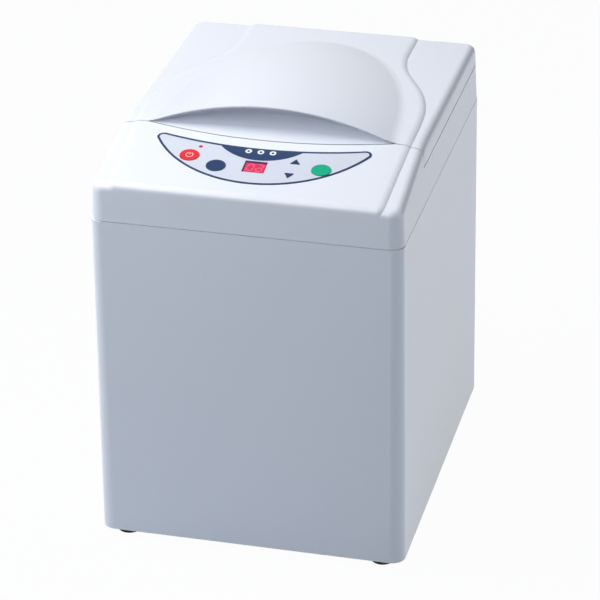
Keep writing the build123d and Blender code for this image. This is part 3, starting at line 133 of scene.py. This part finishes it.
class Wire:
    """A node socket that can be used in an expression."""

    def __init__(self, graph, socket):
        self.graph = graph
        self.socket = socket

    def beside(self, output):
        """Another output of the same node."""
        return Wire(self.graph, self.socket.node.outputs[output])

    def math(self, operation, *others, clamp=False):
        settings = {"operation": operation, "use_clamp": clamp}
        return self.graph.node("ShaderNodeMath", settings, dict(enumerate((self, *others))))

    def __add__(self, other):
        return self.math("ADD", other)

    __radd__ = __add__

    def __mul__(self, other):
        return self.math("MULTIPLY", other)

    __rmul__ = __mul__

    def __sub__(self, other):
        return self.math("SUBTRACT", other)

    def __rsub__(self, other):
        return self.graph.node("ShaderNodeMath", {"operation": "SUBTRACT"}, {0: other, 1: self})

    def __abs__(self):
        return self.math("ABSOLUTE")

    def least(self, other):
        return self.math("MINIMUM", other)

    def most(self, other):
        return self.math("MAXIMUM", other)

    def root(self):
        return self.math("SQRT")

    def over(self, edge, soft):
        """0 below the edge and 1 above it, with a soft step."""
        return ((self - edge) * (1.0 / soft)).math("ADD", 0.5, clamp=True)


class Graph:
    """A node tree whose nodes all come from one method."""

    def __init__(self, tree):
        self.tree = tree

    def node(self, kind, settings=None, inputs=None, output=0):
        made = self.tree.nodes.new(kind)
        for key, value in (settings or {}).items():
            setattr(made, key, value)
        for key, value in (inputs or {}).items():
            self.feed(made.inputs[key], value)
        return Wire(self, made.outputs[output])

    def feed(self, socket, value):
        if isinstance(value, Wire):
            self.tree.links.new(value.socket, socket)
        elif isinstance(value, tuple) and len(value) == 3 and socket.type == "RGBA":
            socket.default_value = (*value, 1.0)
        else:
            socket.default_value = value


class Finish(Graph):
    """The node graph of one material."""

    def __init__(self, name):
        self.material = bpy.data.materials.new(name)
        self.material.use_nodes = True
        super().__init__(self.material.node_tree)
        self.shader = self.tree.nodes["Principled BSDF"]

    def set(self, **values):
        for name, value in values.items():
            self.feed(self.shader.inputs[name.replace("_", " ")], value)

    def place(self):
        """Object coordinates."""
        return self.node("ShaderNodeTexCoord", output="Object")

    def axes(self):
        """The three object coordinates in millimetres."""
        first = self.node("ShaderNodeSeparateXYZ", inputs={0: self.place()})
        return [first.beside(index) * (1.0 / MM) for index in range(3)]

    def noise(self, scale, detail=2.0, scales=None):
        """Noise on object coordinates, which can be stretched along the axes."""
        place = self.place()
        if scales:
            place = self.node("ShaderNodeMapping", inputs={"Vector": place, "Scale": scales})
        return self.node(
            "ShaderNodeTexNoise", inputs={"Vector": place, "Scale": scale, "Detail": detail}
        )

    def mix(self, factor, first, second):
        inputs = {0: factor, 6: first, 7: second}
        return self.node("ShaderNodeMix", {"data_type": "RGBA"}, inputs, output=2)

    def mottled(self, color, scale, low, high):
        """A colour that drifts a little darker and lighter over the surface."""
        return self.mix(self.noise(scale, 3.0), shade(color, low), shade(color, high))

    def bump(self, height, strength, distance):
        inputs = {"Height": height, "Strength": strength, "Distance": distance}
        return self.node("ShaderNodeBump", inputs=inputs)

    def moulded(self, color, roughness, grain, coat):
        """Moulded plastic's uneven gloss and fine spark-eroded grain, round a given colour."""
        self.set(
            Base_Color=color,
            Roughness=roughness - 0.03 + self.noise(60.0) * 0.06,
            Normal=self.bump(self.noise(2600.0), grain, 0.0001),
            Coat_Weight=coat,
            Coat_Roughness=0.12,
        )

    def glassy(self, depth):
        """The gloss of a clear moulding."""
        self.set(Roughness=0.12 + depth * 0.06, Coat_Weight=0.4)


def shade(color, factor):
    """A colour made darker or lighter."""
    return tuple(min(1.0, channel * factor) for channel in color)


def flow_tones(finish, color):
    """The faint flow tones of moulded plastic."""
    return finish.mottled(color, 9.0, 0.985, 1.01)


def metal_tones(finish, color):
    """The cloudy tones of machined or plated metal."""
    return finish.mottled(color, 45.0, 0.9, 1.04)


def plastic(name, color, roughness, grain, coat=0.0):
    """Moulded plastic in one colour."""
    finish = Finish(name)
    finish.moulded(flow_tones(finish, color), roughness, grain, coat)
    return finish.material


def rubber(name, color, roughness):
    """Moulded rubber: dull, with dust in a coarse grain."""
    finish = Finish(name)
    dust = finish.noise(240.0, 4.0)
    finish.set(
        Base_Color=finish.mix(dust, color, shade(color, 1.9)),
        Roughness=roughness - 0.08 + dust * 0.16,
        Normal=finish.bump(finish.noise(1800.0, 3.0), 0.25, 0.0001),
    )
    return finish.material


def brushed(name, color, scales, roughness):
    """Brushed sheet metal, with fine lines that run along the axis of the small scale."""
    finish = Finish(name)
    lines = finish.noise(1.0, 3.0, scales)
    stain = finish.noise(22.0, 3.0)
    finish.set(
        Base_Color=finish.mix(lines, shade(color, 0.86), shade(color, 1.06)),
        Metallic=1.0,
        Roughness=roughness - 0.06 + lines * 0.1 + stain * 0.05,
        Normal=finish.bump(lines, 0.12, 0.00005),
    )
    return finish.material


def machined(name, color, roughness):
    """Turned or milled metal with shallow tool marks."""
    finish = Finish(name)
    marks = finish.noise(1.0, 2.0, (240.0, 240.0, 3400.0))
    finish.set(
        Base_Color=metal_tones(finish, color),
        Metallic=1.0,
        Roughness=roughness - 0.05 + marks * 0.12,
        Normal=finish.bump(marks, 0.08, 0.00004),
    )
    return finish.material


def folded(place, shifts):
    """A place folded about its middles, so that equal spots share one number."""
    for shift in shifts:
        place = abs(place - shift)
    return place


def cross_screws(name, color, spots, size=1.0):
    """Screws with zinc plating, a cross recess and a rounded rim, the last two in painted shade, at
    equally placed spots.
    """
    finish = Finish(name)
    axes = dict(zip("xyz", finish.axes()))
    u, v = [folded(axes[axis], shifts) for axis, shifts in spots]
    arms = (u.least(v) - RECESS_HALF * size).most(u.most(v) - RECESS_REACH * size)
    recess = 1.0 - arms.over(0.0, 0.1)
    rim = (u * u + v * v).root().over(HEAD_FLAT * size, HEAD_ROUNDING * size)
    # Painted shade: the rounded rim darkens to 0.6 of the plating
    plated_with_rim_shade = finish.mix(rim, metal_tones(finish, color), shade(color, 0.6))
    finish.set(
        # Painted shade: the cross recess is nearly black
        Base_Color=finish.mix(recess, plated_with_rim_shade, shade(color, 0.1)),
        Metallic=1.0,
        Roughness=0.26 + recess * 0.3 + finish.noise(300.0) * 0.08,
        Normal=finish.bump(1.0 - recess.most(rim), 0.5, 0.0004),
    )
    return finish.material


def painted(name, color):
    """Powder paint with a fine orange peel."""
    finish = Finish(name)
    peel = finish.noise(700.0)
    finish.set(
        Base_Color=finish.mottled(color, 30.0, 0.93, 1.05),
        Roughness=0.38 + peel * 0.08,
        Normal=finish.bump(peel, 0.15, 0.0001),
    )
    return finish.material


def circuit(name, color):
    """A circuit board's solder mask with faint copper tracks under it."""
    finish = Finish(name)
    tracks = finish.node(
        "ShaderNodeTexVoronoi",
        {"feature": "DISTANCE_TO_EDGE", "distance": "MANHATTAN"},
        {"Vector": finish.place(), "Scale": 260.0},
    )
    finish.set(
        Base_Color=finish.mix(tracks.over(0.12, 0.05), shade(color, 1.8), color),
        Roughness=0.38 + finish.noise(200.0) * 0.1,
        Normal=finish.bump(tracks, 0.2, 0.0001),
    )
    return finish.material


def lens(name, color):
    """A tinted clear moulding."""
    finish = Finish(name)
    depth = finish.noise(500.0)
    finish.set(Base_Color=finish.mix(depth, shade(color, 0.85), shade(color, 1.1)))
    finish.glassy(depth)
    return finish.material


def on_panel(finish):
    """Places across the control panel and up its slope, in millimetres."""
    x, y, z = finish.axes()
    return x, (y - PANEL_Y) * math.cos(SLOPE) + (z - PANEL_Z) * math.sin(SLOPE)


def distance_from(across, up, center):
    """Distance in millimetres from a point of a plane."""
    dx = across - center[0]
    dy = up - center[1]
    return (dx * dx + dy * dy).root()


def arc_radius(half, rise):
    """Radius of the arc that rises so far over half its chord."""
    return (half**2 + rise**2) / (2 * rise)


def bar(across, up, center, half):
    """An upright or level bar, as 0 outside and 1 inside."""
    beyond = (abs(across - center[0]) - half[0]).most(abs(up - center[1]) - half[1])
    return 1.0 - beyond.over(0.0, 0.2)


def foil_border(x, up):
    """The inked border inside the foil's outline, as 0 off it and 1 on it."""
    low_center = FOIL_LOW + FOIL_LOW_RADIUS
    high_center = FOIL_HIGH + FOIL_HIGH_RADIUS
    from_low = FOIL_LOW_RADIUS - distance_from(x, up, (0.0, low_center))
    from_high = distance_from(x, up, (0.0, high_center)) - FOIL_HIGH_RADIUS
    reach_low = FOIL_LOW_RADIUS - FOIL_TIP_RADIUS
    reach_high = FOIL_HIGH_RADIUS + FOIL_TIP_RADIUS
    span = high_center - low_center
    rise = (reach_low**2 - reach_high**2 + span**2) / (2 * span)
    tip = (math.sqrt(reach_low**2 - rise**2), low_center + rise)
    to_high = (-tip[0] / reach_high, (high_center - tip[1]) / reach_high)
    to_low = (tip[0] / reach_low, (tip[1] - low_center) / reach_low)
    dx = abs(x) - tip[0]
    dy = up - tip[1]
    past_low = (dy * to_low[0] - dx * to_low[1]).over(0.0, 0.01)
    past_high = (dx * to_high[1] - dy * to_high[0]).over(0.0, 0.01)
    in_tip = past_low * past_high
    round_tip = FOIL_TIP_RADIUS - (dx * dx + dy * dy).root()
    depth = from_low.least(from_high) * (1.0 - in_tip) + round_tip * in_tip
    thinning = (from_high - from_low).over(0.0, BORDER_BLEND) * BORDER_THINNING
    return 1.0 - (depth + thinning).over(BORDER, INK_EDGE)


def foil_finish(name, field, ink, white, lamp):
    """The printed foil: an inked border inside its outline, a badge and rings round the lamps."""
    finish = Finish(name)
    across, up = on_panel(finish)
    x = across - FOIL_X
    badge_radius = arc_radius(BADGE_HALF, BADGE_EDGE - BADGE_LOW)
    badge = badge_radius - distance_from(x, up, (0.0, BADGE_LOW + badge_radius))
    inked = foil_border(x, up).most(badge.over(0.0, INK_EDGE))
    color = finish.mix(inked, field, ink)
    for center in LAMP_ROW:
        ring = 1.0 - distance_from(across, up, center).over(LAMP_RING_RADIUS, 0.15)
        color = finish.mix(ring, color, white)
    glow = 1.0 - distance_from(across, up, POWER_LAMP).over(POWER_LAMP_RADIUS, 0.3)
    finish.set(
        Base_Color=finish.mix(glow, color, lamp),
        Roughness=0.3 + finish.noise(90.0) * 0.05,
        Normal=finish.bump(finish.noise(1500.0), 0.04, 0.0001),
        Coat_Weight=0.25,
    )
    return finish.material


def power_key(name, color, mark):
    """The red key with a pale ring and bar, the common sign for power."""
    finish = Finish(name)
    across, up = on_panel(finish)
    dx = across - POWER_KEY[0]
    dy = up - POWER_KEY[1]
    from_ring = abs(distance_from(across, up, POWER_KEY) - SIGN_RADIUS)
    gap = (1.0 - abs(dx).over(SIGN_GAP, 0.1)) * dy.over(0.0, 0.1)
    ring = (1.0 - from_ring.over(SIGN_LINE, 0.1)) * (1.0 - gap)
    upright = bar(dx, dy, (0.0, SIGN_RADIUS / 2 + SIGN_RISE), (SIGN_LINE, SIGN_RADIUS / 2))
    finish.moulded(finish.mix(ring.most(upright), flow_tones(finish, color), mark), 0.3, 0.03, 0.3)
    return finish.material


def lamp_row_finish(name, dark, rim, lit):
    """The indicator lenses: the power lamp is lit, the badge's three are dark with a pale rim."""
    finish = Finish(name)
    across, up = on_panel(finish)
    row = across.over((POWER_LAMP[0] + LAMP_ROW[0][0]) / 2, 1.0)
    nearest = distance_from(across, up, LAMP_ROW[0])
    for center in LAMP_ROW[1:]:
        nearest = nearest.least(distance_from(across, up, center))
    unlit = finish.mix(nearest.over(LAMP_CORE_RADIUS, 0.2), dark, rim)
    finish.set(
        Base_Color=finish.mix(row, lit, unlit),
        Emission_Color=finish.mix(row, lit, BLACK),
        Emission_Strength=0.35,
    )
    finish.glassy(finish.noise(500.0))
    return finish.material


def digit(across, up, center, lit):
    """The lit bars of a seven-bar digit, which leans to the right."""
    rise = DIGIT_SIZE[1] / 4
    side = DIGIT_SIZE[0] / 2
    level = (side - SEGMENT, SEGMENT)
    upright = (SEGMENT, rise - SEGMENT)
    bars = {
        "a": ((0.0, 2 * rise), level),
        "b": ((side, rise), upright),
        "c": ((side, -rise), upright),
        "d": ((0.0, -2 * rise), level),
        "e": ((-side, -rise), upright),
        "f": ((-side, rise), upright),
        "g": ((0.0, 0.0), level),
    }
    dy = up - center[1]
    dx = across - center[0] - dy * LEAN
    shown = bar(dx, dy, *bars[lit[0]])
    for letter in lit[1:]:
        shown = shown.most(bar(dx, dy, *bars[letter]))
    return shown


def display_finish(name):
    """The red display glass: two digits, and its frame's shadow along the top and the left."""
    glass = (0.60, 0.045, 0.12)
    unlit = (0.42, 0.05, 0.10)
    glow = (0.82, 0.11, 0.19)
    shadow = (0.07, 0.035, 0.09)
    finish = Finish(name)
    across, up = on_panel(finish)
    from_left = across - DISPLAY[0] + DISPLAY_SIZE[0] / 2
    from_top = up - DISPLAY[1] - DISPLAY_SIZE[1] / 2
    shaded = (1.0 - from_left.over(DISPLAY_SHADOW[0], 0.15)).most(from_top.over(-DISPLAY_SHADOW[1], 0.15))
    tens = (DISPLAY[0] + DIGIT_SHIFT[0] - DIGIT_PITCH / 2, DISPLAY[1] + DIGIT_SHIFT[1])
    ones = (tens[0] + DIGIT_PITCH, tens[1])
    blank = digit(across, up, tens, "abcdefg").most(digit(across, up, ones, "abcdefg"))
    lit = digit(across, up, tens, "abcdef").most(digit(across, up, ones, "abcdeg"))
    depth = finish.noise(500.0)
    tint = finish.mix(depth, shade(glass, 0.9), shade(glass, 1.08))
    color = finish.mix(lit, finish.mix(blank, tint, unlit), glow)
    color = finish.mix(shaded, color, shadow)
    finish.set(Base_Color=color, Emission_Color=color, Emission_Strength=0.25)
    finish.glassy(depth)
    return finish.material


def shell_finish(name, color):
    """The housing's plastic, with painted shade at the lips of the lid's front seam."""
    finish = Finish(name)
    x, y, z = finish.axes()
    bow_radius = arc_radius(SEAM_BOW_HALF, SEAM_BOW)
    bow = abs(distance_from(x, y, (0.0, SEAM_Y - SEAM_BOW + bow_radius)) - bow_radius)
    away = bow.most(SEAM_FLOOR - z).most(abs(x) - SEAM_BOW_HALF)
    seam = 1.0 - away.over(SEAM_HALF, 0.1)
    # Painted shade: near the seam's bow and above SEAM_FLOOR, the shell is darkened to 0.6 of its colour
    seam_shaded = finish.mix(seam, flow_tones(finish, color), shade(color, 0.6))
    finish.moulded(seam_shaded, 0.33, 0.04, 0.15)
    return finish.material


def dress(material, *nodes):
    """Gives CAD nodes their finish."""
    for node in nodes:
        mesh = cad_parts[node].data
        mesh.materials.clear()
        mesh.materials.append(material)


class MixerLooks(bpy.types.PropertyGroup):
    shell_color: FloatVectorProperty(
        name="Shell",
        description="Cool white of the housing",
        subtype="COLOR",
        default=(0.79, 0.822, 0.90),
        min=0,
        max=1,
    )
    ink_color: FloatVectorProperty(
        name="Ink",
        description="Navy ink of the foil",
        subtype="COLOR",
        default=(0.028, 0.058, 0.14),
        min=0,
        max=1,
    )
    power_color: FloatVectorProperty(
        name="Power key",
        description="Red of the power key",
        subtype="COLOR",
        default=(0.80, 0.035, 0.045),
        min=0,
        max=1,
    )
    start_color: FloatVectorProperty(
        name="Start key",
        description="Green of the start key",
        subtype="COLOR",
        default=(0.014, 0.43, 0.25),
        min=0,
        max=1,
    )
    key_light: FloatProperty(
        name="Key light", description="Power of the key light", default=20.5, unit="POWER"
    )
    sky: FloatProperty(name="Sky", description="Strength of the even light", default=0.02)


class MIXER_OT_housing(bpy.types.Operator):
    """Finishes the cabinet, the upper cover and the lid"""

    bl_idname = "mixer.housing"
    bl_label = "Housing"

    def execute(self, context):
        looks = context.scene.mixer_looks
        shell = shell_finish("shell_plastic", looks.shell_color)
        dress(shell, "cabinet", "upper_cover", "lid_shell")
        dress(plastic("liner_plastic", (0.74, 0.76, 0.8), 0.45, 0.12), "lid_liner")
        return {"FINISHED"}


class MIXER_OT_panel(bpy.types.Operator):
    """Finishes the control panel: foil, keys, lamps and display"""

    bl_idname = "mixer.panel"
    bl_label = "Control panel"

    def execute(self, context):
        looks = context.scene.mixer_looks
        ink = tuple(looks.ink_color)
        white = (0.86, 0.89, 0.94)
        lit = (0.52, 0.03, 0.08)
        foil = foil_finish("printed_foil", (0.655, 0.69, 0.79), ink, white, lit)
        dress(foil, "control_overlay")
        dress(power_key("key_red", looks.power_color, (0.9, 0.62, 0.62)), "key_power")
        dress(plastic("key_green", looks.start_color, 0.3, 0.03, 0.3), "key_start")
        navy = plastic("key_navy", ink, 0.32, 0.03, 0.3)
        dress(navy, "key_select", "key_up", "key_down")
        dress(display_finish("display_glass"), "display_window")
        lamps = lamp_row_finish("lamp_lens", shade(ink, 0.8), white, lit)
        dress(lamps, "indicator_lamps")
        return {"FINISHED"}


class MIXER_OT_rubber(bpy.types.Operator):
    """Finishes the feet, seals, mounts, roller and belt"""

    bl_idname = "mixer.rubber"
    bl_label = "Rubber parts"

    def execute(self, context):
        dress(rubber("foot_rubber", (0.02, 0.021, 0.024), 0.72), "feet", "isolators")
        dress(rubber("seal_rubber", (0.22, 0.23, 0.25), 0.6), "lid_seal", "tub_gasket")
        dress(rubber("roller_rubber", (0.05, 0.05, 0.055), 0.65), "drive_roller", "drive_belt")
        return {"FINISHED"}


class MIXER_OT_metal(bpy.types.Operator):
    """Finishes the chamber, the rotor, the drive and the hinges"""

    bl_idname = "mixer.metal"
    bl_label = "Metal parts"

    def execute(self, context):
        sheet = brushed("brushed_sheet", (0.62, 0.63, 0.65), (14.0, 2600.0, 2600.0), 0.3)
        dress(sheet, "base_plate", "chassis_plate", "lid_striker", "transformer")
        bowl = brushed("bowl_steel", (0.66, 0.67, 0.69), (2600.0, 2600.0, 14.0), 0.28)
        dress(bowl, "mixing_tub")
        zinc = machined("zinc_screws", (0.58, 0.59, 0.6), 0.3)
        dress(zinc, "cover_screws", "tub_screws", "motor_screws", "key_board_screws", "rotor_nut")
        dress(zinc, "hinge_base_leaves", "hinge_lid_leaves")
        ground = machined("ground_steel", (0.64, 0.65, 0.67), 0.2)
        dress(ground, "main_shaft", "motor_shaft", "hinge_pins", "lock_bolt")
        dress(ground, "spindle_bearings", "arm_bearing", "counterweight")
        alloy = machined("milled_alloy", (0.74, 0.75, 0.77), 0.3)
        dress(alloy, "spindle_housing", "driven_pulley", "motor_pulley")
        dress(alloy, "rotor_arm", "cup_holder", "track_ring")
        dress(painted("motor_paint", (0.035, 0.038, 0.045)), "motor_body", "lock_solenoid")
        plate = (0.5, 0.51, 0.52)
        hinge = cross_screws("hinge_screws", plate, HINGE_SPOTS)
        dress(hinge, "hinge_base_screws", "hinge_lid_screws")
        dress(cross_screws("lining_screws", plate, LINER_SPOTS), "liner_screws")
        dress(cross_screws("floor_screws", plate, BASE_SPOTS, BASE_SCREW_SIZE), "base_screws")
        return {"FINISHED"}


class MIXER_OT_electrics(bpy.types.Operator):
    """Finishes the boards, the inlet, the fuse and the cup"""

    bl_idname = "mixer.electrics"
    bl_label = "Electrical parts and cup"

    def execute(self, context):
        dress(circuit("solder_mask", (0.01, 0.09, 0.035)), "driver_board", "key_board")
        black = plastic("black_plastic", (0.018, 0.018, 0.02), 0.42, 0.2)
        dress(black, "power_inlet", "fuse_drawer", "lid_switch", "key_switches", "display_module")
        dress(machined("plated_brass", (0.75, 0.6, 0.3), 0.25), "inlet_pins")
        dress(lens("fuse_glass", (0.7, 0.74, 0.76)), "fuse")
        dress(plastic("cup_plastic", (0.36, 0.5, 0.68), 0.38, 0.08), "mixing_cup")
        dress(plastic("cup_lid_plastic", (0.58, 0.61, 0.66), 0.4, 0.1), "cup_lid")
        return {"FINISHED"}


def white_floor():
    """A floor that lights the object from below and that the camera sees as plain white."""
    shape = bmesh.new()
    bmesh.ops.create_grid(shape, x_segments=1, y_segments=1, size=FLOOR_HALF)
    mesh = bpy.data.meshes.new("floor")
    shape.to_mesh(mesh)
    shape.free()
    floor = bpy.data.objects.new("floor", mesh)
    bpy.context.scene.collection.objects.link(floor)
    finish = Finish("floor_white")
    finish.set(Base_Color=FLOOR_COLOR, Roughness=0.9)
    seen = finish.node("ShaderNodeLightPath", output="Is Camera Ray")
    mirrored = seen.beside("Is Glossy Ray").most(seen.beside("Is Transmission Ray"))
    white = finish.node("ShaderNodeEmission", inputs={"Color": WHITE, "Strength": 1.0})
    lit = Wire(finish, finish.shader.outputs[0])
    inputs = {0: seen.most(mirrored) * FLOOR_WHITE, 1: lit, 2: white}
    blend = finish.node("ShaderNodeMixShader", inputs=inputs)
    finish.feed(finish.tree.nodes["Material Output"].inputs["Surface"], blend)
    mesh.materials.append(finish.material)


def even_sky(strength):
    """Weak even light from all round, which the camera sees as plain white."""
    world = bpy.data.worlds.new("studio")
    world.use_nodes = True
    graph = Graph(world.node_tree)
    sky = graph.tree.nodes["Background"]
    graph.feed(sky.inputs["Color"], SKY_COLOR)
    graph.feed(sky.inputs["Strength"], strength)
    seen = graph.node("ShaderNodeLightPath", output="Is Camera Ray")
    white = graph.node("ShaderNodeBackground", inputs={"Color": WHITE})
    inputs = {0: seen, 1: Wire(graph, sky.outputs[0]), 2: white}
    choice = graph.node("ShaderNodeMixShader", inputs=inputs)
    graph.feed(graph.tree.nodes["World Output"].inputs["Surface"], choice)
    bpy.context.scene.world = world


def area_lamp(name, place, size, power, color):
    """A soft box that faces the object."""
    lamp = bpy.data.lights.new(name, "AREA")
    lamp.shape = "RECTANGLE"
    lamp.size, lamp.size_y = size
    lamp.energy = power
    lamp.color = color
    holder = bpy.data.objects.new(name, lamp)
    holder.location = place
    holder.rotation_euler = (LAMP_AIM - Vector(place)).to_track_quat("-Z", "Y").to_euler()
    bpy.context.scene.collection.objects.link(holder)


def camera_matrix():
    """Place of the camera: azimuth and elevation round the target, then its roll."""
    swing = Matrix.Rotation(CAMERA_AZIMUTH, 4, "Z")
    tilt = Matrix.Rotation(math.pi / 2 - CAMERA_ELEVATION, 4, "X")
    roll = Matrix.Rotation(CAMERA_ROLL, 4, "Z")
    turn = swing @ tilt @ roll
    back = turn.to_3x3() @ Vector((0, 0, 1))
    return Matrix.Translation(CAMERA_TARGET + back * CAMERA_DISTANCE) @ turn


class MIXER_OT_studio(bpy.types.Operator):
    """Makes the floor, the soft lights and the camera"""

    bl_idname = "mixer.studio"
    bl_label = "Studio"

    def execute(self, context):
        scene = context.scene
        looks = scene.mixer_looks
        white_floor()
        even_sky(looks.sky)
        for name, place, size, share, color in LAMPS:
            area_lamp(name, place, size, looks.key_light * share, color)
        camera = bpy.data.objects.new("camera", bpy.data.cameras.new("camera"))
        camera.data.sensor_width = CAMERA_SENSOR
        camera.data.lens = CAMERA_LENS
        camera.data.clip_end = CAMERA_REACH
        camera.matrix_world = camera_matrix()
        scene.collection.objects.link(camera)
        scene.camera = camera
        scene.view_settings.view_transform = "Standard"
        return {"FINISHED"}


OPERATORS = (
    MIXER_OT_housing,
    MIXER_OT_panel,
    MIXER_OT_rubber,
    MIXER_OT_metal,
    MIXER_OT_electrics,
    MIXER_OT_studio,
)


class MIXER_PT_panel(bpy.types.Panel):
    bl_idname = "MIXER_PT_panel"
    bl_label = "Bench Mixer"
    bl_space_type = "VIEW_3D"
    bl_region_type = "UI"
    bl_category = "Bench Mixer"

    def draw(self, context):
        for name in MixerLooks.__annotations__:
            self.layout.prop(context.scene.mixer_looks, name)
        for operator in OPERATORS:
            self.layout.operator(operator.bl_idname)


CLASSES = (MixerLooks, *OPERATORS, MIXER_PT_panel)


def register():
    for cls in CLASSES:
        bpy.utils.register_class(cls)
    bpy.types.Scene.mixer_looks = PointerProperty(type=MixerLooks)


def unregister():
    del bpy.types.Scene.mixer_looks
    for cls in reversed(CLASSES):
        bpy.utils.unregister_class(cls)


def main():
    register()
    bpy.ops.mixer.housing()
    bpy.ops.mixer.panel()
    bpy.ops.mixer.rubber()
    bpy.ops.mixer.metal()
    bpy.ops.mixer.electrics()
    bpy.ops.mixer.studio()


if __name__ == "__main__":
    main()
